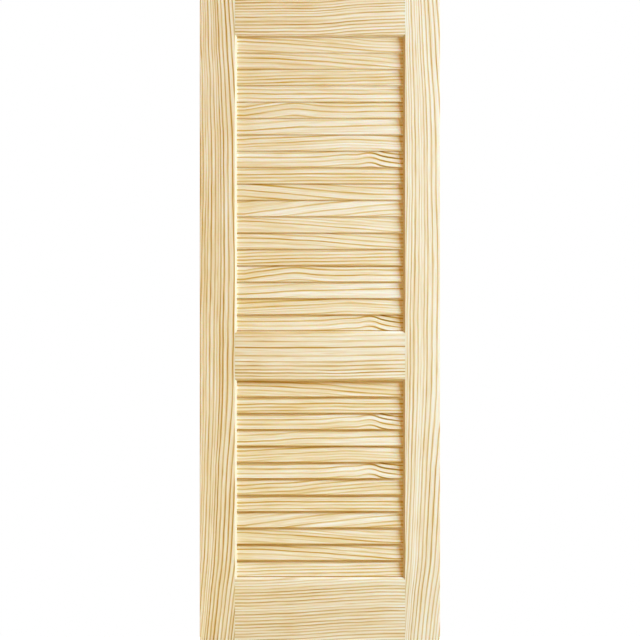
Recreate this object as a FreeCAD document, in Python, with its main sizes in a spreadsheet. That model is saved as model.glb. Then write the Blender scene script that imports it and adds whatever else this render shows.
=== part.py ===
import FreeCAD, Part
import Sketcher
import os

# An interior louvred door: a bare pine slab whose slats are fixed in slots in the stiles.
# The origin is the middle of the bottom edge. +X is to the right as the door is seen from its
# front, +Y goes through to the back and +Z is up. All sizes are in millimetres.

# Each driving size: its name, its value and what it measures.
SIZES = [
    ("door_width", "762", "across both stiles"),
    ("door_height", "2032", "from the bottom edge to the top edge"),
    ("door_thickness", "34.925", "through the stiles and rails"),
    ("stile_width", "117.475", "of each stile, with its sticking"),
    ("top_rail_height", "117.475", "with the sticking below it"),
    ("mid_rail_height", "157", "with the stickings above and below it"),
    ("bottom_rail_height", "200.5", "with the sticking above it"),
    ("lower_opening_height", "622.8", "from the bottom rail to the middle rail"),
    ("sticking_width", "6.35", "of the bevel round each opening, seen from the front"),
    ("sticking_depth", "6.35", "of that bevel, back from the face"),
    ("arris_radius", "1.5", "on the long outer edges of the stiles"),
    ("upper_slats", "18", "number of slats in the upper opening"),
    ("lower_slats", "12", "number of slats in the lower opening"),
    ("slat_thickness", "6.35", "and the diameter of the rounded edges"),
    ("slat_lap", "4.62", "height by which a slat hides the next one below it"),
    ("slat_gap", "1.8", "free space between neighbouring slats, square to their faces"),
    ("slat_rail_gap", "0.3", "free space under the lowest slat of an opening"),
    ("slot_depth", "9.5", "of the slat slots in the stiles"),
    ("slot_clearance", "0.15", "round a slat in its slot"),
    ("slot_end_clearance", "0.3", "past each end of a slat"),
    ("groove_clearance", "0.5", "round the slat edge that a rail houses"),
    ("dowel_diameter", "12.7", "of the dowels that join rails to stiles"),
    ("dowel_length", "114.3", "half of it in the rail and half in the stile"),
    ("dowel_chamfer", "1.5", "on both ends of a dowel"),
    ("dowel_inset", "32", "from a rail's edge to its nearest dowel"),
    ("dowel_clearance", "0.1", "round a dowel in its bore"),
    ("bore_end_clearance", "1", "past each end of a dowel"),
    ("top_rail_dowels", "2", "at each end of the top rail"),
    ("mid_rail_dowels", "2", "at each end of the middle rail"),
    ("bottom_rail_dowels", "3", "at each end of the bottom rail"),
]

# Places that follow from the sizes, as expressions on the sheet. The stile's edge is where its
# slots open, and its shoulder is the line on its face that the rails meet.
HALF_WIDTH = "(Sizes.door_width / 2)"
HALF_DEPTH = "(Sizes.door_thickness / 2)"
FLAT_DEPTH = f"({HALF_DEPTH} - Sizes.sticking_depth)"
STILE_EDGE = "(Sizes.door_width / 2 - Sizes.stile_width)"
STILE_SHOULDER = f"({STILE_EDGE} + Sizes.sticking_width)"
LOWER_OPENING = "Sizes.bottom_rail_height"
MID_RAIL = f"({LOWER_OPENING} + Sizes.lower_opening_height)"
UPPER_OPENING = f"({MID_RAIL} + Sizes.mid_rail_height)"
TOP_RAIL = "(Sizes.door_height - Sizes.top_rail_height)"
UPPER_COUNT = "round(Sizes.upper_slats)"
LOWER_COUNT = "round(Sizes.lower_slats)"
UPPER_PITCH = f"(({TOP_RAIL} - {UPPER_OPENING}) / {UPPER_COUNT})"
LOWER_PITCH = f"(Sizes.lower_opening_height / {LOWER_COUNT})"
SLAT_RADIUS = "(Sizes.slat_thickness / 2)"
SLOT_RADIUS = f"({SLAT_RADIUS} + Sizes.slot_clearance)"
SLAT_LENGTH = f"(2 * ({STILE_EDGE} + Sizes.slot_depth - Sizes.slot_end_clearance))"
BORE_RADIUS = "(Sizes.dowel_diameter / 2 + Sizes.dowel_clearance)"
BORE_DEPTH = "(Sizes.dowel_length / 2 + Sizes.bore_end_clearance)"
TOP_DOWELS = "round(Sizes.top_rail_dowels)"
MID_DOWELS = "round(Sizes.mid_rail_dowels)"
BOTTOM_DOWELS = "round(Sizes.bottom_rail_dowels)"

# The rails: name, height of the lower edge, height of the rail, dowels at each end, the slat
# pitch of the opening below it, if there is one, and whether there is an opening above it.
RAILS = [
    ("top_rail", TOP_RAIL, "Sizes.top_rail_height", TOP_DOWELS, UPPER_PITCH, False),
    ("mid_rail", MID_RAIL, "Sizes.mid_rail_height", MID_DOWELS, LOWER_PITCH, True),
    ("bottom_rail", "0", "Sizes.bottom_rail_height", BOTTOM_DOWELS, None, True),
]

# The slat stacks: name, height of the opening's lower edge, number of slats and their pitch.
STACKS = [
    ("upper_slat", UPPER_OPENING, UPPER_COUNT, UPPER_PITCH),
    ("lower_slat", LOWER_OPENING, LOWER_COUNT, LOWER_PITCH),
]

# The sides of the door, each with the sign of X there.
SIDES = [("left", -1), ("right", 1)]

# Sketcher's numbers for the sketch's own origin and for the points of a line or an arc.
ORIGIN = -1
START = 1
END = 2
CENTRE = 3

# Two places closer than this are taken as one.
SAME_PLACE = 0.01

document = FreeCAD.newDocument("louvred_door")
sheet = document.addObject("Spreadsheet::Sheet", "Sizes")
for row, (alias, value, meaning) in enumerate(SIZES, start=1):
    sheet.set(f"A{row}", alias)
    sheet.set(f"B{row}", value)
    sheet.set(f"C{row}", meaning)
    sheet.setAlias(f"B{row}", alias)
document.recompute()


def number(expression):
    """The value that an expression on the sheet has now."""
    return float(sheet.evalExpression(expression))


def origin_feature(body, role):
    """One of a body's own origin planes or axes."""
    return next(item for item in body.Origin.OriginFeatures if item.Role == role)


def new_body(label):
    """An empty body that carries its sub-part's name."""
    body = document.addObject("PartDesign::Body", label)
    body.Label = label
    return body


def new_sketch(body, name, plane, offset=None):
    """A sketch on one of the body's origin planes, which offset moves along its normal."""
    sketch = body.newObject("Sketcher::SketchObject", name)
    sketch.AttachmentSupport = [(origin_feature(body, plane), "")]
    sketch.MapMode = "FlatFace"
    if offset:
        sketch.setExpression("AttachmentOffset.Base.z", offset)
    return sketch


def dimension(sketch, kind, items, expression):
    """A dimension of the sketch that follows an expression on the sheet."""
    row = sketch.addConstraint(Sketcher.Constraint(kind, *items, number(expression)))
    sketch.setExpression(f"Constraints[{row}]", expression)


def hold_point(sketch, item, point, across, up):
    """Hold a point at its two distances from the sketch's origin."""
    dimension(sketch, "DistanceX", (ORIGIN, START, item, point), across)
    dimension(sketch, "DistanceY", (ORIGIN, START, item, point), up)


def draw_polygon(sketch, corners):
    """A closed run of lines through corners, each an (across, up) pair of expressions."""
    points = [FreeCAD.Vector(number(across), number(up), 0) for across, up in corners]
    lines = []
    for point, following in zip(points, points[1:] + points[:1]):
        lines.append(sketch.addGeometry(Part.LineSegment(point, following)))
    for line, following in zip(lines, lines[1:] + lines[:1]):
        sketch.addConstraint(Sketcher.Constraint("Coincident", line, END, following, START))
    for line, (across, up) in zip(lines, corners):
        hold_point(sketch, line, START, across, up)


def draw_circle(sketch, across, up, radius):
    """A circle about the point (across, up)."""
    centre = FreeCAD.Vector(number(across), number(up), 0)
    normal = FreeCAD.Vector(0, 0, 1)
    circle = sketch.addGeometry(Part.Circle(centre, normal, number(radius)))
    hold_point(sketch, circle, CENTRE, across, up)
    dimension(sketch, "Radius", (circle,), radius)


def slat_tilt(pitch):
    """The angle from upright at which neighbouring slats keep their gap."""
    return f"asin((Sizes.slat_thickness + Sizes.slat_gap) / {pitch})"


def edge_rise(pitch):
    """Height from a slat's middle to the centre of its upper round edge."""
    return f"(({pitch} + Sizes.slat_lap - Sizes.slat_thickness) / 2)"


def edge_reach(pitch):
    """Distance from a slat's middle back to the centre of its upper round edge."""
    return f"({edge_rise(pitch)} * tan({slat_tilt(pitch)}))"


def slat_middle(opening, index, pitch):
    """Height of the middle of a slat, counted from 0 at the bottom of its opening."""
    return f"({opening} + Sizes.slat_rail_gap + (Sizes.slat_lap + {pitch}) / 2 + {index} * {pitch})"


def draw_bar(sketch, middle, radius, pitch):
    """A slat's section about the height middle: a flat bar with round edges, which leans back so
    that its front edge is the low one. The sketch's across direction is the door's Y."""
    reach = edge_reach(pitch)
    rise = edge_rise(pitch)
    centre = FreeCAD.Vector(0, number(middle), 0)
    half = FreeCAD.Vector(number(reach), number(rise), 0)
    along = FreeCAD.Vector(half).normalize() * number(radius)
    back = FreeCAD.Vector(along.y, -along.x, 0)
    low = centre - half
    high = centre + half
    low_edge = sketch.addGeometry(Part.Arc(low - back, low - along, low + back))
    high_edge = sketch.addGeometry(Part.Arc(high + back, high + along, high - back))
    back_face = sketch.addGeometry(Part.LineSegment(low + back, high + back))
    front_face = sketch.addGeometry(Part.LineSegment(high - back, low - back))
    joints = [
        (low_edge, END, back_face, START),
        (back_face, END, high_edge, START),
        (high_edge, END, front_face, START),
        (front_face, END, low_edge, START),
    ]
    for joint in joints:
        sketch.addConstraint(Sketcher.Constraint("Tangent", *joint))
    hold_point(sketch, low_edge, CENTRE, f"-{reach}", f"{middle} - {rise}")
    hold_point(sketch, high_edge, CENTRE, reach, f"{middle} + {rise}")
    sketch.addConstraint(Sketcher.Constraint("Equal", low_edge, high_edge))
    dimension(sketch, "Radius", (low_edge,), radius)


def pad(body, sketch, length, both_ways=False):
    """Extrude a sketch along its normal, or by half the length each way."""
    feature = body.newObject("PartDesign::Pad", f"{body.Name}_pad")
    feature.Profile = sketch
    if both_ways:
        feature.SideType = "Symmetric"
    feature.setExpression("Length", length)
    return feature


def pocket(body, sketch, length, towards):
    """Cut a sketch into the body along its normal (towards 1) or against it (towards -1)."""
    feature = body.newObject("PartDesign::Pocket", f"{sketch.Name}_pocket")
    feature.Profile = sketch
    feature.Reversed = towards > 0
    feature.setExpression("Length", length)
    return feature


def repeat_upwards(body, feature, spacing, count):
    """Repeat a feature of the body along Z."""
    pattern = body.newObject("PartDesign::LinearPattern", f"{feature.Name}_pattern")
    pattern.Originals = [feature]
    pattern.Direction = (origin_feature(body, "Z_Axis"), [""])
    pattern.Mode = "Spacing"
    pattern.setExpression("Offset", spacing)
    pattern.setExpression("Occurrences", count)
    body.Tip = pattern


def dowel_spacing(height, count):
    """From one dowel of a rail to the next: the outer ones keep their inset from its edges."""
    return f"(({height} - 2 * Sizes.dowel_inset) / max({count} - 1; 1))"


def make_stile(side, sign):
    """A full-height stile with bevelled inner edges and eased outer ones. Its inner edge has a
    slot for each slat's end and the dowel bores."""
    body = new_body(f"{side}_stile")
    outer = f"({sign} * {HALF_WIDTH})"
    shoulder = f"({sign} * {STILE_SHOULDER})"
    edge = f"({sign} * {STILE_EDGE})"
    section = new_sketch(body, f"{side}_stile_section", "XY_Plane")
    corners = [
        (outer, f"-{HALF_DEPTH}"),
        (shoulder, f"-{HALF_DEPTH}"),
        (edge, f"-{FLAT_DEPTH}"),
        (edge, FLAT_DEPTH),
        (shoulder, HALF_DEPTH),
        (outer, HALF_DEPTH),
    ]
    draw_polygon(section, corners)
    blank = pad(body, section, "Sizes.door_height")
    ease_outer_edges(body, blank, number(outer))
    for name, opening, count, pitch in STACKS:
        slot = new_sketch(body, f"{side}_{name}_slot", "YZ_Plane", edge)
        draw_bar(slot, slat_middle(opening, 0, pitch), SLOT_RADIUS, pitch)
        cut = pocket(body, slot, "Sizes.slot_depth", sign)
        repeat_upwards(body, cut, pitch, count)
    bores = new_sketch(body, f"{side}_stile_bores", "YZ_Plane", edge)
    for _, lower_edge, height, count, _, _ in RAILS:
        spacing = dowel_spacing(height, count)
        for index in range(round(number(count))):
            up = f"({lower_edge} + Sizes.dowel_inset + {index} * {spacing})"
            draw_circle(bores, "0", up, BORE_RADIUS)
    pocket(body, bores, BORE_DEPTH, sign)
    return body


def ease_outer_edges(body, blank, outer):
    """Round the two long edges of a stile's blank that lie at X = outer."""
    document.recompute()
    names = []
    for index, edge in enumerate(blank.Shape.Edges, start=1):
        box = edge.BoundBox
        at_outer = abs(box.XMin - outer) < SAME_PLACE and abs(box.XMax - outer) < SAME_PLACE
        if at_outer and box.ZLength > box.YLength:
            names.append(f"Edge{index}")
    fillet = body.newObject("PartDesign::Fillet", f"{body.Name}_arris")
    fillet.Base = (blank, names)
    fillet.setExpression("Radius", "Sizes.arris_radius")


def make_rail(name, lower_edge, height, dowels, pitch_below, opening_above):
    """A rail with a bevelled edge at each opening. Its ends are coped over the stiles' bevels
    and bored for dowels, and its lower edge is grooved for the top of the highest slat."""
    body = new_body(name)
    section = new_sketch(body, f"{name}_section", "YZ_Plane")
    draw_polygon(section, rail_corners(height, pitch_below, opening_above))
    pad(body, section, f"2 * {STILE_SHOULDER}", both_ways=True)
    cope = new_sketch(body, f"{name}_cope", "XY_Plane")
    corners = [
        (STILE_SHOULDER, f"-{HALF_DEPTH}"),
        (STILE_SHOULDER, HALF_DEPTH),
        (STILE_EDGE, FLAT_DEPTH),
        (STILE_EDGE, f"-{FLAT_DEPTH}"),
    ]
    draw_polygon(cope, corners)
    cope_cut = pocket(body, cope, height, 1)
    bores = new_sketch(body, f"{name}_bores", "YZ_Plane", STILE_EDGE)
    for index in range(round(number(dowels))):
        up = f"(Sizes.dowel_inset + {index} * {dowel_spacing(height, dowels)})"
        draw_circle(bores, "0", up, BORE_RADIUS)
    bore_cut = pocket(body, bores, BORE_DEPTH, -1)
    other_end = body.newObject("PartDesign::Mirrored", f"{name}_other_end")
    other_end.Originals = [cope_cut, bore_cut]
    other_end.MirrorPlane = (origin_feature(body, "YZ_Plane"), [""])
    body.Tip = other_end
    body.setExpression("Placement.Base.z", lower_edge)
    return body


def rail_corners(height, pitch_below, opening_above):
    """A rail's section, from the front of its lower edge round by the back."""
    if pitch_below:
        roof = "(Sizes.slat_rail_gap + Sizes.slat_lap + Sizes.groove_clearance)"
        groove_front, groove_back = groove_sides(pitch_below)
        lower = [
            (f"-{HALF_DEPTH}", "Sizes.sticking_width"),
            (f"-{FLAT_DEPTH}", "0"),
            (groove_front, "0"),
            (groove_front, roof),
            (groove_back, roof),
            (groove_back, "0"),
            (FLAT_DEPTH, "0"),
            (HALF_DEPTH, "Sizes.sticking_width"),
        ]
    else:
        lower = [(f"-{HALF_DEPTH}", "0"), (HALF_DEPTH, "0")]
    if opening_above:
        upper = [
            (HALF_DEPTH, f"({height} - Sizes.sticking_width)"),
            (FLAT_DEPTH, height),
            (f"-{FLAT_DEPTH}", height),
            (f"-{HALF_DEPTH}", f"({height} - Sizes.sticking_width)"),
        ]
    else:
        upper = [(HALF_DEPTH, height), (f"-{HALF_DEPTH}", height)]
    return lower + upper


def groove_sides(pitch):
    """The front and back of a rail's groove, each clear of the highest slat. The slat leans
    back, so the groove's front clears it at the mouth and its back at the round edge."""
    tilt = slat_tilt(pitch)
    mouth = f"(({pitch} - Sizes.slat_lap) / 2 - Sizes.slat_rail_gap)"
    slat_front = f"({mouth} * tan({tilt}) - {SLAT_RADIUS} / cos({tilt}))"
    slat_back = f"({edge_reach(pitch)} + {SLAT_RADIUS})"
    return f"({slat_front} - Sizes.groove_clearance)", f"({slat_back} + Sizes.groove_clearance)"


def make_slat(label, middle, pitch):
    """A slat whose middle is at the height middle, with both ends in the stiles' slots."""
    body = new_body(label)
    section = new_sketch(body, f"{label}_section", "YZ_Plane")
    draw_bar(section, "0", SLAT_RADIUS, pitch)
    pad(body, section, SLAT_LENGTH, both_ways=True)
    body.setExpression("Placement.Base.z", middle)
    return body


def make_dowels(rail, lower_edge, height, count, side, sign):
    """The dowels between one end of a rail and its stile, turned about their own axis."""
    body = new_body(f"{rail}_dowels_{side}")
    half_length = "(Sizes.dowel_length / 2)"
    radius = "(Sizes.dowel_diameter / 2)"
    barrel_end = f"({half_length} - Sizes.dowel_chamfer)"
    tip_radius = f"({radius} - Sizes.dowel_chamfer)"
    outline = new_sketch(body, f"{body.Name}_outline", "XZ_Plane")
    corners = [
        (f"-{half_length}", "0"),
        (half_length, "0"),
        (half_length, tip_radius),
        (barrel_end, radius),
        (f"-{barrel_end}", radius),
        (f"-{half_length}", tip_radius),
    ]
    draw_polygon(outline, corners)
    dowel = body.newObject("PartDesign::Revolution", f"{body.Name}_turned")
    dowel.Profile = outline
    dowel.ReferenceAxis = (outline, ["H_Axis"])
    dowel.Angle = 360
    repeat_upwards(body, dowel, dowel_spacing(height, count), count)
    body.setExpression("Placement.Base.x", f"{sign} * {STILE_EDGE}")
    body.setExpression("Placement.Base.z", f"{lower_edge} + Sizes.dowel_inset")
    return body


def check_document(pieces):
    """Stop unless each feature worked, each pocket cut into its solid and each piece is whole."""
    for item in document.Objects:
        if "Invalid" in item.State or "Error" in item.State:
            raise RuntimeError(f"{item.Name} failed: {item.State}")
        if item.TypeId == "PartDesign::Pocket":
            removed = item.BaseFeature.Shape.Volume - item.Shape.Volume
            area = sum(Part.Face(wire).Area for wire in item.Profile[0].Shape.Wires)
            whole = area * item.Length.Value
            if removed < whole / 2:
                raise RuntimeError(f"{item.Name} cuts {removed:.1f} of {whole:.1f} cubic mm")
    for piece in pieces:
        if piece.Shape.isNull() or not piece.Shape.isValid():
            raise RuntimeError(f"{piece.Label} has no valid shape")


pieces = []
for side, sign in SIDES:
    pieces.append(make_stile(side, sign))
for rail in RAILS:
    pieces.append(make_rail(*rail))
for name, opening, count, pitch in STACKS:
    for index in range(round(number(count))):
        middle = slat_middle(opening, index, pitch)
        pieces.append(make_slat(f"{name}_{index + 1:02d}", middle, pitch))
for name, lower_edge, height, count, _, _ in RAILS:
    for side, sign in SIDES:
        pieces.append(make_dowels(name, lower_edge, height, count, side, sign))
document.recompute()
check_document(pieces)

os.makedirs("parts", exist_ok=True)
for piece in pieces:
    piece.Shape.exportStep(os.path.join("parts", f"{piece.Label}.step"))
print(f"{len(pieces)} sub-parts written")
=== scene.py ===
"""Looks of a bare pine louvred door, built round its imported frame.

Lengths are in metres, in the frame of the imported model: X to the right as the door is seen from
its front, Y through to the back and Z up.
"""

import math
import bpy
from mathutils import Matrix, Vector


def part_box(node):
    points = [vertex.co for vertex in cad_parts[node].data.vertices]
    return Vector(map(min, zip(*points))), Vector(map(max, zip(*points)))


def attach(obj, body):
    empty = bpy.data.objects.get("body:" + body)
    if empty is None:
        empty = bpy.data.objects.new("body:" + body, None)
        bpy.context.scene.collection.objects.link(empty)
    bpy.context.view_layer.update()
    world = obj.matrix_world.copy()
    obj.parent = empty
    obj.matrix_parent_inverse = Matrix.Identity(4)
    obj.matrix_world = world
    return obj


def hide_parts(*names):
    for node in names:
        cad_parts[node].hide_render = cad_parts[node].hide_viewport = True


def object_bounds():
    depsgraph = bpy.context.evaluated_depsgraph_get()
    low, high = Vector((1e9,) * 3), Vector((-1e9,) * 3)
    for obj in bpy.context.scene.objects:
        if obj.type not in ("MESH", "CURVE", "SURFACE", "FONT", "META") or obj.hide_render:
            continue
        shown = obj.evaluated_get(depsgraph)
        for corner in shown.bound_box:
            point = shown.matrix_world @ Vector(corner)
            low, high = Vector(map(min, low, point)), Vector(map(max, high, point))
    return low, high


bl_info = {
    "name": "Louvred pine door",
    "version": (1, 0, 0),
    "blender": (4, 5, 0),
    "location": "3D View > Sidebar > Louvred Door",
    "description": "Finishes the stiles, rails, slats and dowels of a bare pine louvred door",
    "category": "Object",
}

import bmesh
import bpy
import numpy as np
from bpy.props import FloatProperty, FloatVectorProperty, IntProperty, PointerProperty
from mathutils import Vector

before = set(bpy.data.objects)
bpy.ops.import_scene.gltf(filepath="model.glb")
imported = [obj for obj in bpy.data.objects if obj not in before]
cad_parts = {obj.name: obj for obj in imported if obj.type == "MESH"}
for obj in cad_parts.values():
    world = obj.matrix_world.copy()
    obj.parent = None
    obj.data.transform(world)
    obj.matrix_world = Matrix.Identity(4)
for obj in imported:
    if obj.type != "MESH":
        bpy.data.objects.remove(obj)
CAD_LOW, CAD_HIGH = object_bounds()

MILLIMETRE = 0.001
STILES = ("left_stile", "right_stile")
RAILS = ("top_rail", "mid_rail", "bottom_rail")
STACKS = {
    name: sorted(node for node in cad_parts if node.startswith(f"{name}_slat_"))
    for name in ("upper", "lower")
}
DOWELS = sorted(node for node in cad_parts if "_dowels_" in node)

# The grain lines that run along the boards and slats. A figure's stations are places along the
# wood, from its middle. Its drift is how far the grain has wandered across the wood at each
# station, and its spread how far apart the lines lie there, as a share. Each line is given by its
# place across the wood, from the lower or left edge, where drift is 0, and by how strongly it
# shows. Places are in millimetres.
#
# Of the board itself, log is where along its log it was cut, in metres. Tone is how much darker it
# is than plain pine, painted_light_fade how much paler it is a metre further right, a painted
# light that brightens it towards the key lamp on the right, ends how much paler it is at its two
# ends, and clear how clear of grain its bevels are, up to 1.
STILE_STATIONS = (
    -1014, -890, -764, -636, -510, -382, -256, -128, 61, 252, 443, 634, 760, 888, 1014,
)
STILE_DRIFT = (-49, -37.5, -26.5, -20, -15.5, -9.5, -3.5, -2.5, 0, 1, 1, -1.5, -6, -12, -16.5)
STILE_SPREAD = (
    0.68, 0.70, 0.77, 0.785, 0.805, 0.885, 0.97, 0.985, 1, 0.95, 0.88, 0.87, 0.81, 0.77, 0.72,
)
RAIL_STATIONS = (-254, -203, -152, -102, -51, 0, 51, 102, 152, 203, 254)
BOARDS = {
    "left_stile": {
        "log": 3.1, "tone": 0.055, "ends": 0.07, "clear": 1.0,
        "stations": STILE_STATIONS, "drift": STILE_DRIFT, "spread": STILE_SPREAD,
        "lines": (
            (-6, 0.8), (4, 0.75), (14, 0.45), (22, 0.6), (34, 0.95), (48.5, 0.65), (57, 0.4),
            (66.5, 0.8), (76.5, 0.85), (92, 0.75), (109, 1.1), (127, 0.9), (143, 0.8), (163, 0.8),
            (178, 0.7),
        ),
    },
    "right_stile": {
        "log": 7.9, "tone": -0.095, "ends": 0.07, "clear": 1.0,
        "stations": STILE_STATIONS, "drift": STILE_DRIFT, "spread": STILE_SPREAD,
        "lines": (
            (7, 0.55), (15, 0.45), (24, 0.7), (36, 0.85), (50, 0.55), (58, 0.35), (68, 0.75),
            (78, 0.75), (94, 0.65), (109.5, 0.85), (130, 0.85), (148, 0.8), (167, 0.7), (182, 0.7),
        ),
    },
    "top_rail": {
        "log": 12.3, "tone": 0.0, "painted_light_fade": 0.25, "stations": RAIL_STATIONS,
        "drift": (-3, -3, -2.5, -2, -1.5, 0, 3.5, 9, 12, 14.5, 16.5),
        "lines": (
            (8, 0.8), (18, 0.8), (29, 0.65), (40, 0.9), (50, 0.4), (65, 0.8), (75, 0.5), (82, 0.8),
            (91, 0.7), (100, 0.5), (110, 0.8),
        ),
    },
    "mid_rail": {
        "log": 17.2, "tone": -0.01, "painted_light_fade": 0.33, "stations": RAIL_STATIONS,
        "drift": (0, 0, 0, 0, 0, 0, 0, 1, 2, 3, 5),
        "lines": (
            (5, 0.5), (15, 0.6), (25, 0.95), (35, 0.8), (48, 0.75), (61, 0.85), (79, 0.65),
            (106, 1.05), (126, 0.4), (141, 0.5), (150, 0.4),
        ),
    },
    "bottom_rail": {
        "log": 22.1, "tone": -0.07, "painted_light_fade": 0.3, "clear": 0.5, "stations": RAIL_STATIONS,
        "drift": (-13, -12, -9.5, -7, -3.5, 0, 3.5, 6, 8, 10, 10.5),
        "lines": (
            (12, 0.65), (24, 0.6), (33, 0.5), (42, 0.55), (52, 0.75), (62, 0.8), (74, 0.6),
            (84, 0.75), (94, 0.7), (104, 0.5), (112, 0.5), (122, 0.75), (132, 0.8), (144, 0.65),
            (154, 0.75), (163, 0.65), (174, 0.5), (184, 0.5), (192, 0.55),
        ),
    },
}

# The figures of the slats: the drift at each of these stations, then the lines. Beside a knot the
# grain turns more sharply, so that figure has more stations.
SLAT_STATIONS = (-240, -160, -80, 0, 80, 160, 240)
KNOT_STATIONS = (-240, -160, -80, 0, 80, 124, 143, 159, 175, 190, 206, 232, 254)
SLAT_FIGURES = {
    "steep": (
        (15.5, 11, 6.5, 0, -6.5, -13.5, -18),
        ((-6, 0.31), (8.5, 0.23), (21, 0.70), (33, 0.47), (43, 0.23), (53, 0.63), (61, 0.31))),
    "dipping": (
        (10.5, 8.5, 4.5, 0, -7.5, -13.5, -19.5),
        ((-6, 0.31), (12, 0.47), (26, 0.78), (40, 0.55), (54, 0.55), (66, 0.47))),
    "fine": (
        (-7, -3, -1, 0, 0.5, 3, 5),
        ((2, 0.55), (13, 0.70), (24, 0.70), (34, 0.55), (45, 0.39))),
    "straight": (
        (1.5, 0, 0, 0, 0, 0, 0),
        ((2, 0.08), (10, 0.55), (26, 0.70), (39, 0.70), (48, 0.16))),
    "hump": (
        (-14, -2, 6.5, 0, -2, -0.5, -1),
        ((2, 0.47), (23, 0.78), (41, 0.55), (51, 0.78))),
    "soft": (
        (-12.5, -8, -2, 0, 1, 3.5, 5),
        ((8, 0.16), (26, 0.78), (47, 0.31), (60, 0.23))),
    "arch": (
        (-12, -6.5, -3.5, 0, 4.5, 2.5, -2),
        ((5, 0.55), (16, 0.23), (23, 0.31), (32, 0.55), (49, 0.78))),
    "knot": (
        (-1.5, -2.5, -2, 0, 6.5, 8.5, 12, 13, 10.5, 5, 1, -3, -6),
        ((2, 0.55), (19, 0.39), (34, 0.66), (48, 0.55), (57, 0.42))),
    "even": (
        (-4, -2, -1, 0, -1, -1, -2),
        ((11, 0.63), (22, 0.47), (32, 0.78), (49, 0.47))),
    "falling": (
        (21.5, 15, 7.5, 0, -7.5, -11.5, -13.5),
        ((-9, 0.63), (11, 0.70), (32, 0.63), (51, 0.78))),
    "sinking": (
        (14.5, 10.5, 6, 0, -6.5, -12.5, -17.5),
        ((-4, 0.23), (11, 0.23), (23, 0.70), (34, 0.47), (42, 0.31), (53, 0.55), (62, 0.39))),
    "diagonal": (
        (-32, -21.5, -11, 0, 8.5, 17.5, 23),
        ((-14, 0.63), (-2, 0.55), (17, 0.55), (41, 0.70), (61, 0.31))),
    "rising": (
        (-18.5, -13.5, -9, 0, 7.5, 14.5, 17.5),
        ((-13, 0.47), (2, 0.47), (13, 0.55), (24, 0.55), (37, 0.70), (50, 0.78), (64, 0.39))),
}
# The figure of each slat, from the lowest of its stack upwards.
STACK_FIGURES = {
    "upper": (
        "knot", "arch", "soft", "hump", "fine", "dipping", "sinking", "diagonal", "falling",
        "even", "knot", "arch", "soft", "hump", "straight", "fine", "dipping", "steep",
    ),
    "lower": (
        "fine", "dipping", "sinking", "diagonal", "even", "rising", "knot", "arch", "soft",
        "knot", "even", "dipping",
    ),
}
SLAT_LOGS = (30, 90)  # a slat's place along its log lies between these
SLAT_TONES = (-0.01, 0.08)  # and its tone between these
SLAT_PAINTED_LIGHT_FADE = 0.25  # painted light: how much paler a slat is a metre further right
SEED = 20660  # of the slats' random draws
KNOT_PLACE = 0.208  # middle of the darker wood beside the knot of a slat, from the slat's middle
KNOT_REACH = 0.042  # how far that wood goes each way
KNOT_STRENGTH = 2.4  # how much more strongly the grain lines show in its middle, as a share
SHADED_EDGE_HEIGHT = 0.0032  # height of the band of painted shade along a slat's lower edge
SEAT_PAINTED_SHADE = 0.8  # painted shadow: how much darker that edge is where it stands on a rail
EDGE_PAINTED_SHADES = {"upper": 0.08, "lower": 0.3}  # painted shade on the lower edges of the other slats
EDGE_ROUNDING = 0.4999  # radius of a slat's edges, as a share of its thickness
SLAT_FIT = 0.0001  # how far a slat may be off its solid

FIRST_RING = 35  # rings between the pith and the first grain line given
SHARP_SIDE, SOFT_SIDE = 0.0030, 0.0050  # widths of the two halves of a grain line
CLOSE_LINES, OPEN_LINES = 0.004, 0.013  # distances between grain lines of half and full width
SLOW_WANDER, QUICK_WANDER = 0.0055, 0.0022  # how far the rings wander
RESIN_START, RESIN_FULL = 1.0, 1.7  # how strong a grain line is where resin starts and is full
PALE_TINT, LINE_TINT = 0.155, 0.85  # tint of the pale wood, and what a full line adds to it
FAINT_WIDTH = 0.11  # of the fainter lines, in their noise
CANAL_START, CANAL_FULL = 0.23, 0.33  # where a resin canal starts and is full, in its noise

# The noises in the woods: cells to a metre along the grain and across it, detail and roughness.
NOISES = {
    "slow wander": (6.0, 4.0, 1.0, 0.5),
    "quick wander": (18.0, 45.0, 2.0, 0.5),
    "patches": (3.5, 22.0, 2.0, 0.5),
    "strands": (9.0, 330.0, 2.0, 0.5),
    "broad bands": (1.6, 40.0, 1.0, 0.5),
    "faint lines": (4.0, 125.0, 1.0, 0.5),
    "fibres": (22.0, 1300.0, 2.0, 0.6),
    "canals": (55.0, 1500.0, 0.0, 0.5),
    "dowel pores": (60.0, 900.0, 2.0, 0.5),
    "dowel bands": (8.0, 220.0, 2.0, 0.5),
}

X, Z = 0, 2
AXES = [Vector(axis) for axis in np.identity(3)]
SAME_PLACE = 1e-6  # corners closer than this are one
SAME_PLANE = math.radians(0.5)  # faces at less than this angle are one
CORNER = math.radians(30)  # edges at more than this angle are sharp
SHADED_CORNER = math.radians(12)  # edges of an eased board at more than this angle look sharp
BEVEL = 0.9  # a bevel's normal points in none of the wood's three directions by more than this
END_GRAIN = 0.7  # the normal of end grain points along the wood by more than this

LAMPLIGHT = (0.51, 0.762, 1.0)  # cool lamps, which the warm even light makes up to white
EVEN_LIGHT = (1.0, 0.60, 0.18)
# Where the middles of the soft lamps are, and their sizes.
KEY_LAMP = {"place": (2.87, -1.52, 2.38), "width": 1.5, "height": 1.0}
BACK_LAMP = {"place": (-1.9, 2.1, 3.1), "width": 1.2, "height": 1.2}
FLOOR_REACH = 3.0  # to the left, to the right and in front of the door
FLOOR_BACK = 0.4  # behind the door
FLOOR_GLARE = (2.2, 2.3, 2.5)  # colour of the floor as it is seen, too bright not to be white
PICTURE_TRIM = 0.0032  # how much of the door's height the picture leaves out
PICTURE_DEPTH = 5  # how far the camera sees, in distances to the door


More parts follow.
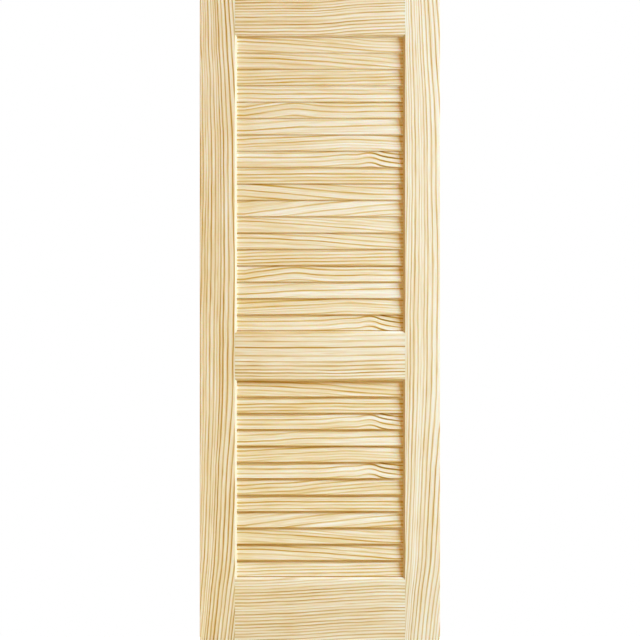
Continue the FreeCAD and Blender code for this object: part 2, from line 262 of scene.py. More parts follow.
class LouvreBoardSettings(bpy.types.PropertyGroup):
    """Sizes and colours of the boards' wood."""

    edge_ease: FloatProperty(
        name="Edge ease", description="Width of the sanded corner on a board's sharp edges",
        default=0.0004, min=0.0001, max=0.002, unit="LENGTH")
    cut_length: FloatProperty(
        name="Cut length", description="Distance between the cuts that let the grain bend",
        default=0.02, min=0.005, max=0.1, unit="LENGTH")
    cut_width: FloatProperty(
        name="Cut width", description="Distance between cuts across the grain lines",
        default=0.0036, min=0.001, max=0.02, unit="LENGTH")
    ring_width: FloatProperty(
        name="Ring width", description="Growth of the tree in a year",
        default=0.0055, min=0.001, max=0.02, unit="LENGTH")
    pith_depth: FloatProperty(
        name="Pith depth", description="How far behind the front face the log's middle lay",
        default=0.12, min=0, max=0.18, unit="LENGTH")
    early_wood: FloatVectorProperty(
        name="Early wood", description="Colour of the pale wood between the grain lines",
        subtype="COLOR", size=3, min=0, max=1, default=(0.96, 0.90, 0.80))
    middle_wood: FloatVectorProperty(
        name="Middle wood", description="Colour where the pale wood turns into a grain line",
        subtype="COLOR", size=3, min=0, max=1, default=(0.81, 0.62, 0.345))
    late_wood: FloatVectorProperty(
        name="Late wood", description="Colour of the grain lines",
        subtype="COLOR", size=3, min=0, max=1, default=(0.52, 0.28, 0.035))
    clear_wood: FloatVectorProperty(
        name="Clear wood", description="Colour of the pale wood on the stiles' bevels",
        subtype="COLOR", size=3, min=0, max=1, default=(0.74, 0.585, 0.41))
    dowel_wood: FloatVectorProperty(
        name="Dowel wood", description="Colour of the hardwood dowels",
        subtype="COLOR", size=3, min=0, max=1, default=(0.62, 0.42, 0.24))


class LouvreSlatSettings(bpy.types.PropertyGroup):
    """Sizes of the slats, and the colours of their wood."""

    thickness: FloatProperty(
        name="Thickness", description="Thickness of a slat and diameter of its rounded edges",
        default=0.00635, min=0.003, max=0.02, unit="LENGTH")
    round_steps: IntProperty(
        name="Round steps", description="Faces round a quarter of a slat's edge",
        default=6, min=2, max=16)
    length_steps: IntProperty(
        name="Length steps", description="Faces along a slat", default=80, min=8, max=200)
    width_step: FloatProperty(
        name="Width step", description="Width of the faces on a slat's flats",
        default=0.0032, min=0.001, max=0.02, unit="LENGTH")
    early_wood: FloatVectorProperty(
        name="Early wood", description="Colour of the pale wood between the slats' grain lines",
        subtype="COLOR", size=3, min=0, max=1, default=(0.92, 0.885, 0.80))
    middle_wood: FloatVectorProperty(
        name="Middle wood", description="Colour where that pale wood turns into a grain line",
        subtype="COLOR", size=3, min=0, max=1, default=(0.788, 0.612, 0.328))
    late_wood: FloatVectorProperty(
        name="Late wood", description="Colour of the slats' grain lines",
        subtype="COLOR", size=3, min=0, max=1, default=(0.57, 0.312, 0.035))


class LouvreStageSettings(bpy.types.PropertyGroup):
    """Camera, lamps and floor."""

    camera_distance: FloatProperty(
        name="Camera distance", description="From the camera to the front of the door",
        default=40.0, min=5, max=60, unit="LENGTH")
    key_power: FloatProperty(
        name="Key lamp", description="Power of the large soft lamp to the right of the door",
        default=227.0, min=0, subtype="POWER")
    back_power: FloatProperty(
        name="Back lamp", description="Power of the large soft lamp behind the door",
        default=155.0, min=0, subtype="POWER")
    fill_light: FloatProperty(
        name="Fill light", description="Level of the even light from all round",
        default=0.55, min=0, max=2)
    floor_colour: FloatVectorProperty(
        name="Floor", description="Colour of the floor",
        subtype="COLOR", size=3, min=0, max=1, default=(0.50, 0.36, 0.145))


def settings():
    """The three groups of settings of the current scene."""
    scene = bpy.context.scene
    return scene.louvre_boards, scene.louvre_slats, scene.louvre_stage


# Nodes and materials


def new_node(tree, kind, **values):
    """A node of that kind with its own values set."""
    node = tree.nodes.new(kind)
    for name, value in values.items():
        setattr(node, name, value)
    return node


def feed(tree, socket, value):
    """Links an output to the socket, or sets the socket's own value."""
    if isinstance(value, bpy.types.NodeSocket):
        tree.links.new(value, socket)
    else:
        socket.default_value = value


def cleared_tree(owner):
    """The empty node tree of a new material, world or lamp."""
    owner.use_nodes = True
    owner.node_tree.nodes.clear()
    return owner.node_tree


def calculate(tree, operation, first, second=0.0, third=None, clamp=False):
    """The output of a maths node."""
    node = new_node(tree, "ShaderNodeMath", operation=operation, use_clamp=clamp)
    feed(tree, node.inputs[0], first)
    feed(tree, node.inputs[1], second)
    if third is not None:
        feed(tree, node.inputs[2], third)
    return node.outputs[0]


def add_shares(tree, start, *shares):
    """The start, plus each value times its share."""
    total = start
    for value, share in shares:
        total = calculate(tree, "MULTIPLY_ADD", value, share, total)
    return total


def combine(tree, x, y, z):
    """A vector of three values."""
    node = new_node(tree, "ShaderNodeCombineXYZ")
    for socket, value in zip(node.inputs, (x, y, z)):
        feed(tree, socket, value)
    return node.outputs[0]


def separate(tree, vector):
    """The three values of a vector."""
    node = new_node(tree, "ShaderNodeSeparateXYZ")
    feed(tree, node.inputs[0], vector)
    return tuple(node.outputs)


def attribute(tree, name):
    """The three values of a mesh's attribute."""
    return separate(
        tree, new_node(tree, "ShaderNodeAttribute", attribute_name=name).outputs["Vector"])


def soft_noise(tree, grain, name):
    """A noise of the woods about 0, from about -0.5 to 0.5. grain is the place in the wood."""
    along, across, depth = grain
    along_cells, across_cells, detail, roughness = NOISES[name]
    node = new_node(tree, "ShaderNodeTexNoise", noise_dimensions="3D")
    feed(tree, node.inputs["Vector"], combine(
        tree,
        calculate(tree, "MULTIPLY", along, along_cells),
        calculate(tree, "MULTIPLY", across, across_cells),
        calculate(tree, "MULTIPLY", depth, across_cells)))
    node.inputs["Scale"].default_value = 1.0
    node.inputs["Detail"].default_value = detail
    node.inputs["Roughness"].default_value = roughness
    return calculate(tree, "SUBTRACT", node.outputs["Fac"], 0.5)


def ramp(tree, value, low, high, to_low=0.0, to_high=1.0):
    """A smooth step from to_low to to_high as the value goes from low to high."""
    node = new_node(tree, "ShaderNodeMapRange", interpolation_type="SMOOTHSTEP", clamp=True)
    for name, item in (("Value", value), ("From Min", low), ("From Max", high),
                       ("To Min", to_low), ("To Max", to_high)):
        feed(tree, node.inputs[name], item)
    return node.outputs["Result"]


def mix_colours(tree, factor, first, second):
    """A mix of two colours, where 0 is the first. The node's sockets 6, 7 and 2 are its colours."""
    node = new_node(tree, "ShaderNodeMix", data_type="RGBA", clamp_factor=True)
    feed(tree, node.inputs[0], factor)
    feed(tree, node.inputs[6], first)
    feed(tree, node.inputs[7], second)
    return node.outputs[2]


def opaque(colour):
    """The colour with full opacity."""
    return (*colour, 1.0)


def wood_surface(tree, colour, level, rough, height, strength, depth):
    """The surface of a wood: its colour times its level, how rough it is, and a relief of that
    height, strength and depth."""
    shaded = new_node(tree, "ShaderNodeVectorMath", operation="SCALE")
    feed(tree, shaded.inputs[0], colour)
    feed(tree, shaded.inputs["Scale"], level)
    bump = new_node(tree, "ShaderNodeBump")
    bump.inputs["Strength"].default_value = strength
    bump.inputs["Distance"].default_value = depth
    feed(tree, bump.inputs["Height"], height)
    surface = new_node(tree, "ShaderNodeBsdfPrincipled")
    feed(tree, surface.inputs["Base Color"], shaded.outputs["Vector"])
    feed(tree, surface.inputs["Roughness"], rough)
    feed(tree, surface.inputs["Normal"], bump.outputs["Normal"])
    output = new_node(tree, "ShaderNodeOutputMaterial")
    feed(tree, output.inputs["Surface"], surface.outputs["BSDF"])
    return surface


def pine_rings(tree, grain, ring, gap):
    """The number of the ring at each place in the wood. The rings go on into the wood as circles
    round the pith, and wander a little on their way."""
    boards, _, _ = settings()
    _, _, depth = grain
    inwards = calculate(tree, "MULTIPLY", depth, calculate(
        tree, "SUBTRACT", depth, 2 * boards.pith_depth))
    inwards = calculate(tree, "DIVIDE", inwards, boards.ring_width ** 2)
    rings = calculate(tree, "SQRT", calculate(tree, "MULTIPLY_ADD", ring, ring, inwards))
    wander = add_shares(
        tree, 0.0,
        (soft_noise(tree, grain, "slow wander"), SLOW_WANDER),
        (soft_noise(tree, grain, "quick wander"), QUICK_WANDER))
    return calculate(tree, "ADD", rings, calculate(tree, "DIVIDE", wander, gap))


def pine_lines(tree, grain, rings, gap, strength):
    """How strongly a grain line shows at each place. It is softer on the side that the tree grew
    from, and narrower among close lines. Some years and patches show more than others."""
    beside = calculate(tree, "SUBTRACT", calculate(tree, "FRACT", rings), 0.5)
    beside = calculate(tree, "MULTIPLY", beside, calculate(
        tree, "DIVIDE", gap, ramp(tree, gap, CLOSE_LINES, OPEN_LINES, 0.5, 1.0)))
    beside = calculate(
        tree, "MAXIMUM", calculate(tree, "DIVIDE", beside, SHARP_SIDE),
        calculate(tree, "DIVIDE", beside, -SOFT_SIDE))
    line = ramp(tree, beside, 0.0, 1.0, 1.0, 0.0)
    chance = new_node(tree, "ShaderNodeTexWhiteNoise", noise_dimensions="1D")
    feed(tree, chance.inputs["W"], calculate(tree, "FLOOR", rings))
    patches = add_shares(tree, 1.0, (soft_noise(tree, grain, "patches"), 0.9))
    years = add_shares(tree, 0.9, (chance.outputs["Value"], 0.2))
    for share in (strength, patches, years):
        line = calculate(tree, "MULTIPLY", line, share)
    return line


def pine_colour(tree, wood, grain, line, strands, tone):
    """Pale wood, through honey, to the tan of the grain lines. Fainter lines lie between them."""
    broad = soft_noise(tree, grain, "broad bands")
    faint = calculate(tree, "ABSOLUTE", soft_noise(tree, grain, "faint lines"))
    faint = ramp(tree, faint, 0.0, FAINT_WIDTH, 1.0, 0.0)
    tint = calculate(tree, "MULTIPLY_ADD", line, LINE_TINT, PALE_TINT, clamp=True)
    tint = add_shares(tree, tint, (faint, 0.17), (strands, 0.55), (broad, 0.5))
    colours = new_node(tree, "ShaderNodeValToRGB")
    band = colours.color_ramp.elements
    band[0].color = opaque(wood.early_wood)
    band[1].color = opaque(wood.late_wood)
    band.new(0.5).color = opaque(wood.middle_wood)
    feed(tree, colours.inputs["Fac"], calculate(tree, "ADD", tone, tint, clamp=True))
    return colours.outputs["Color"]


def make_pine(name, wood):
    """Clear bare pine, in the colours of that group of settings. The grain attribute is the place
    in the wood: along the grain, across it, and how deep behind the front face. The ring attribute
    is the number of the ring on the front face there, the distance between grain lines and how
    strongly they show. The finish attribute is how much darker the wood is, painted light and
    painted shade included, 1 on end grain, and how clear of grain the wood is, up to 1."""
    boards, _, _ = settings()
    material = bpy.data.materials.new(name)
    tree = cleared_tree(material)
    grain = attribute(tree, "grain")
    ring, gap, strength = attribute(tree, "ring")
    # The tone holds painted light and painted shade besides the wood's own darkness.
    tone, end_grain, clear = attribute(tree, "finish")
    line = pine_lines(tree, grain, pine_rings(tree, grain, ring, gap), gap, strength)
    strands = soft_noise(tree, grain, "strands")
    colour = pine_colour(tree, wood, grain, line, strands, tone)
    colour = mix_colours(tree, clear, colour, opaque(boards.clear_wood))

    # Fibres and short resin canals run along the grain. The strongest lines are dark with resin.
    resin = ramp(tree, line, RESIN_START, RESIN_FULL)
    fibres = soft_noise(tree, grain, "fibres")
    canals = ramp(tree, soft_noise(tree, grain, "canals"), CANAL_START, CANAL_FULL)
    level = add_shares(
        tree, 1.0, (fibres, 0.10), (strands, 0.05), (canals, -0.10), (resin, -0.45),
        (end_grain, -0.07))
    rough = add_shares(tree, 0.66, (line, -0.10), (strands, 0.16), (end_grain, 0.16))
    height = add_shares(tree, 0.0, (line, 0.6), (fibres, 0.35), (canals, -0.6), (strands, 0.30))
    surface = wood_surface(tree, colour, level, rough, height, strength=0.5, depth=0.00025)
    surface.inputs["Specular IOR Level"].default_value = 0.12
    surface.inputs["Subsurface Weight"].default_value = 0.3
    surface.inputs["Subsurface Radius"].default_value = (1.0, 0.4, 0.12)
    surface.inputs["Subsurface Scale"].default_value = 0.006
    return material


def make_dowel_wood(name):
    """Turned hardwood with fine flecks along its length, on Object coordinates."""
    boards, _, _ = settings()
    material = bpy.data.materials.new(name)
    tree = cleared_tree(material)
    grain = separate(tree, new_node(tree, "ShaderNodeTexCoord").outputs["Object"])
    pores = soft_noise(tree, grain, "dowel pores")
    bands = soft_noise(tree, grain, "dowel bands")
    level = add_shares(tree, 1.0, (pores, 0.35), (bands, 0.25))
    rough = add_shares(tree, 0.5, (bands, 0.2))
    wood_surface(tree, tuple(boards.dowel_wood), level, rough, pores, strength=0.4, depth=0.0002)
    return material


# Boards


def follow(stations, values, places):
    """A smooth line through the values at the stations, read at those places."""
    stations, values = np.array(stations, float), np.array(values, float)
    slopes = np.gradient(values, stations)
    nearest = np.clip(np.searchsorted(stations, places, side="right") - 1, 0, len(stations) - 2)
    gap = stations[nearest + 1] - stations[nearest]
    t = np.clip((places - stations[nearest]) / gap, 0, 1)
    return (
        (2 * t**3 - 3 * t**2 + 1) * values[nearest]
        + (t**3 - 2 * t**2 + t) * gap * slopes[nearest]
        + (3 * t**2 - 2 * t**3) * values[nearest + 1]
        + (t**3 - t**2) * gap * slopes[nearest + 1]
    )


def count_rings(lines, places):
    """The ring at each place across the wood, the distance between grain lines and how strongly
    they show there. A ring's line lies in its middle. Past the lines given, more go on at their
    mean distance."""
    middles, shows = (np.array(column, float) for column in zip(*lines))
    mean = (middles[-1] - middles[0]) / (len(middles) - 1)
    more = mean * np.arange(1, FIRST_RING + 1)
    middles = np.concatenate((middles[0] - more[::-1], middles, middles[-1] + more))
    shows = np.pad(shows, FIRST_RING, constant_values=shows.mean())
    numbers = np.arange(len(middles)) + 0.5
    between = (middles[1:] + middles[:-1]) / 2
    return (
        np.interp(places, middles, numbers),
        np.interp(places, between, np.diff(middles)) * MILLIMETRE,
        np.interp(places, middles, shows),
    )


def numbers_of(items, name):
    """A vector of each item, such as each vertex's place, as rows."""
    values = np.empty(len(items) * 3)
    items.foreach_get(name, values)
    return values.reshape(-1, 3)


def store(mesh, name, domain, *columns):
    """Keeps three values for each point or face under that name."""
    values = np.stack(columns, axis=1).astype(np.float32)
    mesh.attributes.new(name, "FLOAT_VECTOR", domain).data.foreach_set("vector", values.ravel())


def lay_grain(mesh, along, across, cut):
    """Writes the grain, ring and finish attributes of a board or slat whose directions are given.
    cut is its figure, its tones with their painted light and painted shade, and where along its
    log it was cut."""
    back = along.cross(across)
    if back.y < 0:
        back.negate()
    ways = np.array((along, across, back))
    corners = numbers_of(mesh.vertices, "co")
    points = corners @ ways.T
    low, high = points.min(axis=0), points.max(axis=0)
    middle, half = (low + high) / 2, (high - low) / 2
    x, y, z = (points - middle).T
    stations = cut["stations"]
    drift = follow(stations, cut["drift"], x / MILLIMETRE) * MILLIMETRE
    spread = follow(stations, cut.get("spread", [1.0] * len(stations)), x / MILLIMETRE)
    y = (y - drift) / spread + half[1]
    ring, gap, shows = count_rings(cut["lines"], y / MILLIMETRE)
    if cut.get("knot"):
        shows = shows * (1 + KNOT_STRENGTH * np.exp(-(((x - KNOT_PLACE) / KNOT_REACH) ** 2)))
    store(mesh, "grain", "POINT", x + cut["log"], y, z + half[2])
    store(mesh, "ring", "POINT", ring, gap * spread, shows)

    centres = numbers_of(mesh.polygons, "center")
    ends = ((centres @ ways[0] - middle[0]) / half[0]) ** 2
    # Painted shade: the faces along a slat's lower edge, darkened for the shadow under it.
    edge = centres[:, Z] < corners[:, Z].min() + SHADED_EDGE_HEIGHT
    # Painted light: the tone grows paler towards the right by the painted_light_fade share.
    tone = (
        cut["tone"] - cut.get("painted_light_fade", 0) * centres[:, X] - cut.get("ends", 0) * ends
        + cut.get("edge", 0) * edge)
    faces = np.abs(numbers_of(mesh.polygons, "normal") @ ways.T)
    end_grain = faces[:, 0] > END_GRAIN
    clear = (faces.max(axis=1) < BEVEL) * cut.get("clear", 0)
    store(mesh, "finish", "FACE", tone, end_grain, clear)


def add_piece(name, mesh, material, slot, *nodes):
    """An object for a finished mesh that stands for those nodes."""
    mesh.name = name
    mesh.materials.clear()
    mesh.materials.append(material)
    piece = bpy.data.objects.new(name, mesh)
    bpy.context.scene.collection.objects.link(piece)
    even = piece.modifiers.new("Even normals", "WEIGHTED_NORMAL")
    even.keep_sharp = True
    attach(piece, "root")
    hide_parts(*nodes)
    return piece


def eased_copy(node, along, across):
    """A copy of a board's own solid with its sharp edges eased, cut at even distances both ways
    so that the grain can bend."""
    boards, _, _ = settings()
    model = bmesh.new()
    model.from_mesh(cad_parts[node].data)
    bmesh.ops.remove_doubles(model, verts=model.verts, dist=SAME_PLACE)
    bmesh.ops.dissolve_limit(
        model, angle_limit=SAME_PLANE, verts=model.verts, edges=model.edges)
    sharp = [
        edge for edge in model.edges
        if edge.is_manifold and edge.is_convex and edge.calc_face_angle() > CORNER
    ]
    bmesh.ops.bevel(
        model, geom=sharp, offset=boards.edge_ease, offset_type="OFFSET", segments=2, profile=0.5,
        affect="EDGES", clamp_overlap=True)
    low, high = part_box(node)
    for way, step in ((along, boards.cut_length), (across, boards.cut_width)):
        cuts = int((high[way] - low[way]) / step)
        for number in range(1, cuts):
            place = low[way] + number * (high[way] - low[way]) / cuts
            bmesh.ops.bisect_plane(
                model, geom=[*model.verts, *model.edges, *model.faces], dist=SAME_PLACE,
                plane_co=AXES[way] * place, plane_no=AXES[way])
    mesh = bpy.data.meshes.new(node)
    model.to_mesh(mesh)
    model.free()
    mesh.shade_smooth()
    mesh.set_sharp_from_angle(angle=SHADED_CORNER)
    return mesh


def make_board(node, along, across, material, slot):
    """The finished board that stands for a stile or a rail, with its grain along one axis and its
    grain lines side by side across another."""
    mesh = eased_copy(node, along, across)
    lay_grain(mesh, AXES[along], AXES[across], BOARDS[node])
    return add_piece(f"{node}_board", mesh, material, slot, node)


class LOUVRE_OT_stiles(bpy.types.Operator):
    """Makes the two stiles, with upright grain"""

    bl_idname = "louvre.stiles"
    bl_label = "Stiles"

    def execute(self, context):
        material = make_pine("stile pine", settings()[0])
        for node in STILES:
            make_board(node, Z, X, material, "stile_pine")
        return {"FINISHED"}


class LOUVRE_OT_rails(bpy.types.Operator):
    """Makes the three rails, with grain across the door"""

    bl_idname = "louvre.rails"
    bl_label = "Rails"

    def execute(self, context):
        material = make_pine("rail pine", settings()[0])
        for node in RAILS:
            make_board(node, X, Z, material, "rail_pine")
        return {"FINISHED"}


# Slats


def slat_tree(material):
    """The Geometry Nodes tree of a stack of slats. Rise and Reach are the height and depth
    between the middle lines of a slat's two rounded edges."""
    tree = bpy.data.node_groups.new("Slat stack", "GeometryNodeTree")
    sockets = tree.interface
    for name, kind in (
        ("Slats", "NodeSocketInt"), ("Lowest Middle", "NodeSocketFloat"),
        ("Spacing", "NodeSocketFloat"), ("Rise", "NodeSocketFloat"),
        ("Reach", "NodeSocketFloat"), ("Thickness", "NodeSocketFloat"),
        ("Length", "NodeSocketFloat"), ("Round Steps", "NodeSocketInt"),
        ("Length Steps", "NodeSocketInt"), ("Width Step", "NodeSocketFloat"),
    ):
        sockets.new_socket(name=name, in_out="INPUT", socket_type=kind)
    sockets.new_socket(name="Geometry", in_out="OUTPUT", socket_type="NodeSocketGeometry")
    given = new_node(tree, "NodeGroupInput").outputs

    # The section: a flat bar whose two edges are fully rounded.
    half_chord = new_node(tree, "ShaderNodeVectorMath", operation="LENGTH")
    feed(tree, half_chord.inputs[0], combine(tree, 0.0, given["Reach"], given["Rise"]))
    width = calculate(tree, "ADD", half_chord.outputs["Value"], given["Thickness"])
    section = new_node(tree, "GeometryNodeCurvePrimitiveQuadrilateral")
    feed(tree, section.inputs["Width"], given["Thickness"])
    feed(tree, section.inputs["Height"], width)
    rounding = new_node(tree, "GeometryNodeFilletCurve", mode="POLY")
    feed(tree, rounding.inputs["Curve"], section.outputs["Curve"])
    radius = calculate(tree, "MULTIPLY", given["Thickness"], EDGE_ROUNDING)
    feed(tree, rounding.inputs["Radius"], radius)
    feed(tree, rounding.inputs["Count"], given["Round Steps"])

    # Its two flats are divided into even steps, so that the grain lines can curve on them.
    here = new_node(tree, "GeometryNodeInputPosition").outputs[0]
    following = new_node(tree, "GeometryNodeOffsetPointInCurve")
    following.inputs["Offset"].default_value = 1
    there = new_node(tree, "GeometryNodeFieldAtIndex", data_type="FLOAT_VECTOR", domain="POINT")
    feed(tree, there.inputs["Index"], following.outputs["Point Index"])
    feed(tree, there.inputs["Value"], here)
    side = new_node(tree, "ShaderNodeVectorMath", operation="DISTANCE")
    feed(tree, side.inputs[0], here)
    feed(tree, side.inputs[1], there.outputs["Value"])
    cuts = calculate(tree, "DIVIDE", side.outputs["Value"], given["Width Step"])
    divided = new_node(tree, "GeometryNodeSubdivideCurve")
    feed(tree, divided.inputs["Curve"], rounding.outputs["Curve"])
    feed(tree, divided.inputs["Cuts"], calculate(tree, "FLOOR", cuts))

    # The bar: the section run along the slat's length, then leaned back.
    line = new_node(tree, "GeometryNodeCurvePrimitiveLine")
    for end, share in (("Start", -0.5), ("End", 0.5)):
        place = calculate(tree, "MULTIPLY", given["Length"], share)
        feed(tree, line.inputs[end], combine(tree, place, 0.0, 0.0))
    steps = new_node(tree, "GeometryNodeResampleCurve")
    feed(tree, steps.inputs["Curve"], line.outputs["Curve"])
    feed(tree, steps.inputs["Count"], calculate(tree, "ADD", given["Length Steps"], 1.0))
    bar = new_node(tree, "GeometryNodeCurveToMesh")
    feed(tree, bar.inputs["Curve"], steps.outputs["Curve"])
    feed(tree, bar.inputs["Profile Curve"], divided.outputs["Curve"])
    bar.inputs["Fill Caps"].default_value = True
    lean = new_node(tree, "GeometryNodeTransform")
    feed(tree, lean.inputs["Geometry"], bar.outputs["Mesh"])
    tilt = calculate(tree, "ARCTAN2", given["Reach"], given["Rise"])
    tilt = calculate(tree, "MULTIPLY", tilt, -1.0)
    feed(tree, lean.inputs["Rotation"], combine(tree, tilt, 0.0, 0.0))

    # The stack: one bar on each point of an upright line, numbered from the lowest.
    points = new_node(tree, "GeometryNodeMeshLine", mode="OFFSET")
    feed(tree, points.inputs["Count"], given["Slats"])
    feed(tree, points.inputs["Start Location"], combine(tree, 0.0, 0.0, given["Lowest Middle"]))
    feed(tree, points.inputs["Offset"], combine(tree, 0.0, 0.0, given["Spacing"]))
    stack = new_node(tree, "GeometryNodeInstanceOnPoints")
    feed(tree, stack.inputs["Points"], points.outputs["Mesh"])
    feed(tree, stack.inputs["Instance"], lean.outputs["Geometry"])
    number = new_node(tree, "GeometryNodeStoreNamedAttribute", data_type="INT", domain="INSTANCE")
    number.inputs["Name"].default_value = "slat"
    feed(tree, number.inputs["Geometry"], stack.outputs["Instances"])
    feed(tree, number.inputs["Value"], new_node(tree, "GeometryNodeInputIndex").outputs["Index"])
    real = new_node(tree, "GeometryNodeRealizeInstances")
    feed(tree, real.inputs["Geometry"], number.outputs["Geometry"])
    finish = new_node(tree, "GeometryNodeSetMaterial")
    finish.inputs["Material"].default_value = material
    feed(tree, finish.inputs["Geometry"], real.outputs["Geometry"])
    feed(tree, new_node(tree, "NodeGroupOutput").inputs["Geometry"], finish.outputs["Geometry"])
    return tree


def run_tree(tree, **values):
    """The plain mesh that the tree makes from those inputs, which are named as its sockets are,
    in small letters."""
    carrier = bpy.data.objects.new("stack", bpy.data.meshes.new("stack"))
    bpy.context.scene.collection.objects.link(carrier)
    modifier = carrier.modifiers.new("Slats", "NODES")
    modifier.node_group = tree
    for item in tree.interface.items_tree:
        if item.in_out == "INPUT":
            modifier[item.identifier] = values[item.name.lower().replace(" ", "_")]
    ready = carrier.evaluated_get(bpy.context.evaluated_depsgraph_get())
    mesh = bpy.data.meshes.new_from_object(ready)
    carrier.modifiers.remove(modifier)
    bpy.data.objects.remove(carrier)
    return mesh


def split_stack(stack):
    """One mesh for each slat of a stack, from the lowest upwards."""
    points = numbers_of(stack.vertices, "co")
    numbers = np.empty(len(stack.vertices), int)
    stack.attributes["slat"].data.foreach_get("value", numbers)
    faces = [list(face.vertices) for face in stack.polygons]
    meshes = []
    for number in range(numbers.max() + 1):
        own = np.flatnonzero(numbers == number)
        first = own[0]
        mesh = bpy.data.meshes.new("slat")
        mesh.from_pydata(
            points[own].tolist(), [],
            [[corner - first for corner in face] for face in faces if numbers[face[0]] == number])
        mesh.shade_smooth()
        mesh.set_sharp_from_angle(angle=CORNER)
        meshes.append(mesh)
    return meshes


def fit_stack(tree, nodes):
    """The slats of a stack as one mesh, sized and placed by its solids, and the way up the front
    of a slat."""
    _, slats, _ = settings()
    low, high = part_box(nodes[0])
    next_low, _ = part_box(nodes[1])
    rise = high.z - low.z - slats.thickness
    reach = high.y - low.y - slats.thickness
    mesh = run_tree(
        tree, slats=len(nodes), lowest_middle=(low.z + high.z) / 2, spacing=next_low.z - low.z,
        rise=rise, reach=reach, thickness=slats.thickness, length=high.x - low.x,
        round_steps=slats.round_steps, length_steps=slats.length_steps,
        width_step=slats.width_step)
    return mesh, Vector((0.0, reach, rise)).normalized()


def check_fit(piece, node):
    """Stops the script when a slat's box isn't its solid's box."""
    corners = np.array([corner[:] for corner in piece.bound_box])
    low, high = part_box(node)
    if max(np.abs(corners.min(0) - low).max(), np.abs(corners.max(0) - high).max()) > SLAT_FIT:
        raise RuntimeError(f"{piece.name} doesn't fit its solid")


class LOUVRE_OT_slats(bpy.types.Operator):
    """Makes the slats of both openings, with grain along each slat"""

    bl_idname = "louvre.slats"
    bl_label = "Slats"

    def execute(self, context):
        material = make_pine("slat pine", settings()[1])
        tree = slat_tree(material)
        chance = np.random.default_rng(SEED)
        for stack, nodes in STACKS.items():
            mesh, up = fit_stack(tree, nodes)
            for node, figure, bar in zip(nodes, STACK_FIGURES[stack], split_stack(mesh)):
                drift, lines = SLAT_FIGURES[figure]
                knot = figure == "knot"
                cut = {
                    "log": chance.uniform(*SLAT_LOGS),
                    "tone": chance.uniform(*SLAT_TONES),
                    # Painted light, paler towards the right
                    "painted_light_fade": SLAT_PAINTED_LIGHT_FADE,
                    # Painted shade along the lower edge, deepest where the slat stands on a rail
                    "edge": SEAT_PAINTED_SHADE if node == nodes[0] else EDGE_PAINTED_SHADES[stack],
                    "stations": KNOT_STATIONS if knot else SLAT_STATIONS,
                    "drift": drift, "lines": lines, "knot": knot,
                }
                lay_grain(bar, AXES[X], up, cut)
                check_fit(add_piece(f"{node}_bar", bar, material, "slat_pine", node), node)
            bpy.data.meshes.remove(mesh)
        return {"FINISHED"}


class LOUVRE_OT_dowels(bpy.types.Operator):
    """Gives the hidden dowels their hardwood"""

    bl_idname = "louvre.dowels"
    bl_label = "Dowels"

    def execute(self, context):
        material = make_dowel_wood("dowel beech")
        for node in DOWELS:
            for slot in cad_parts[node].material_slots:
                slot.material = material
        return {"FINISHED"}


# Stage


def seen_white(tree):
    """1 for rays that should see a white background."""
    kind = new_node(tree, "ShaderNodeLightPath")
    seen = calculate(tree, "MAXIMUM", kind.outputs["Is Camera Ray"], kind.outputs["Is Glossy Ray"])
    return calculate(tree, "MAXIMUM", seen, kind.outputs["Is Transmission Ray"])


def make_world(level):
    """Even light from all round, behind a background that is seen as white."""
    world = bpy.data.worlds.new("even light")
    tree = cleared_tree(world)
    light = new_node(tree, "ShaderNodeBackground")
    light.inputs["Color"].default_value = opaque(EVEN_LIGHT)
    light.inputs["Strength"].default_value = level
    white = new_node(tree, "ShaderNodeBackground")
    white.inputs["Color"].default_value = (1.0, 1.0, 1.0, 1.0)
    mix = new_node(tree, "ShaderNodeMixShader")
    feed(tree, mix.inputs[0], seen_white(tree))
    feed(tree, mix.inputs[1], light.outputs[0])
    feed(tree, mix.inputs[2], white.outputs[0])
    output = new_node(tree, "ShaderNodeOutputWorld")
    feed(tree, output.inputs["Surface"], mix.outputs[0])
    bpy.context.scene.world = world


def make_floor(colour):
    """A plain floor that lights the door in its own colour, but is seen as white."""
    left, right, front, back = -FLOOR_REACH, FLOOR_REACH, -FLOOR_REACH, FLOOR_BACK
    mesh = bpy.data.meshes.new("floor")
    mesh.from_pydata(
        [(left, front, 0), (right, front, 0), (right, back, 0), (left, back, 0)], [],
        [(0, 1, 2, 3)])
    floor = bpy.data.objects.new("floor", mesh)
    bpy.context.scene.collection.objects.link(floor)
    material = bpy.data.materials.new("pale floor")
    tree = cleared_tree(material)
    paint = new_node(tree, "ShaderNodeBsdfDiffuse")
    seen = mix_colours(tree, seen_white(tree), opaque(colour), opaque(FLOOR_GLARE))
    feed(tree, paint.inputs["Color"], seen)
    output = new_node(tree, "ShaderNodeOutputMaterial")
    feed(tree, output.inputs["Surface"], paint.outputs[0])
    mesh.materials.append(material)


def make_lamp(name, target, power, place, width, height):
    """A soft lamp that points at the target. Its light doesn't weaken with distance, as from a
    lamp much farther away, and has that power's strength at the target."""
    lamp = bpy.data.lights.new(name, "AREA")
    lamp.shape = "RECTANGLE"
    lamp.size, lamp.size_y = width, height
    lamp.energy = power
    lamp.color = LAMPLIGHT
    tree = cleared_tree(lamp)
    way = Vector(target) - Vector(place)
    even = new_node(tree, "ShaderNodeLightFalloff")
    even.inputs["Strength"].default_value = 1 / way.length_squared
    shine = new_node(tree, "ShaderNodeEmission")
    feed(tree, shine.inputs["Strength"], even.outputs["Constant"])
    feed(tree, new_node(tree, "ShaderNodeOutputLight").inputs["Surface"], shine.outputs[0])
    holder = bpy.data.objects.new(name, lamp)
    holder.location = place
    holder.rotation_euler = way.to_track_quat("-Z", "Y").to_euler()
    bpy.context.scene.collection.objects.link(holder)


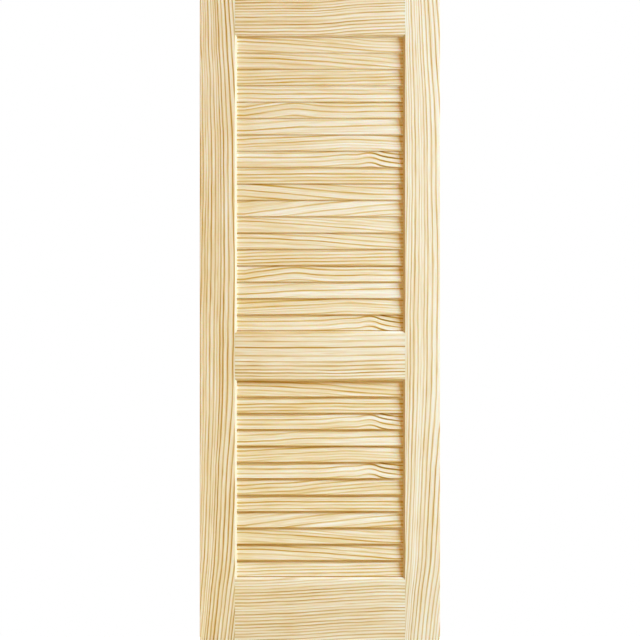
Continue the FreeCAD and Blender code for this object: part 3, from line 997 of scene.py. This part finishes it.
class LOUVRE_OT_stage(bpy.types.Operator):
    """Makes the floor, lamps, background and camera"""

    bl_idname = "louvre.stage"
    bl_label = "Stage"

    def execute(self, context):
        _, _, stage = settings()
        scene = context.scene
        make_world(stage.fill_light)
        make_floor(stage.floor_colour)
        middle = (CAD_LOW + CAD_HIGH) / 2
        make_lamp("key lamp", middle, stage.key_power, **KEY_LAMP)
        make_lamp("back lamp", middle, stage.back_power, **BACK_LAMP)

        # A long lens straight in front, whose picture is almost as high as the door.
        camera = bpy.data.cameras.new("camera")
        camera.type = "PERSP"
        camera.sensor_fit = "HORIZONTAL"
        height = CAD_HIGH.z - CAD_LOW.z - PICTURE_TRIM
        camera.lens = camera.sensor_width * stage.camera_distance / height
        camera.clip_end = PICTURE_DEPTH * stage.camera_distance
        holder = bpy.data.objects.new("camera", camera)
        holder.location = (middle.x, CAD_LOW.y - stage.camera_distance, middle.z)
        holder.rotation_euler = (math.radians(90), 0.0, 0.0)
        scene.collection.objects.link(holder)
        scene.camera = holder
        scene.view_settings.view_transform = "Standard"
        return {"FINISHED"}


class LOUVRE_PT_panel(bpy.types.Panel):
    """Lists the pieces of the louvred door"""

    bl_idname = "LOUVRE_PT_panel"
    bl_label = "Louvred Door"
    bl_space_type = "VIEW_3D"
    bl_region_type = "UI"
    bl_category = "Louvred Door"

    def draw(self, context):
        scene = context.scene
        for operator in OPERATORS:
            self.layout.operator(operator.bl_idname)
        for group in (scene.louvre_boards, scene.louvre_slats, scene.louvre_stage):
            column = self.layout.column()
            for name in group.bl_rna.properties.keys():
                if name not in ("rna_type", "name"):
                    column.prop(group, name)


GROUPS = {
    "louvre_boards": LouvreBoardSettings,
    "louvre_slats": LouvreSlatSettings,
    "louvre_stage": LouvreStageSettings,
}
OPERATORS = (
    LOUVRE_OT_stiles, LOUVRE_OT_rails, LOUVRE_OT_slats, LOUVRE_OT_dowels, LOUVRE_OT_stage,
)


def register():
    for name, group in GROUPS.items():
        bpy.utils.register_class(group)
        setattr(bpy.types.Scene, name, PointerProperty(type=group))
    for kind in (*OPERATORS, LOUVRE_PT_panel):
        bpy.utils.register_class(kind)


def unregister():
    for kind in (*OPERATORS, LOUVRE_PT_panel):
        bpy.utils.unregister_class(kind)
    for name, group in GROUPS.items():
        delattr(bpy.types.Scene, name)
        bpy.utils.unregister_class(group)


def main():
    register()
    bpy.ops.louvre.stiles()
    bpy.ops.louvre.rails()
    bpy.ops.louvre.slats()
    bpy.ops.louvre.dowels()
    bpy.ops.louvre.stage()


if __name__ == "__main__":
    main()
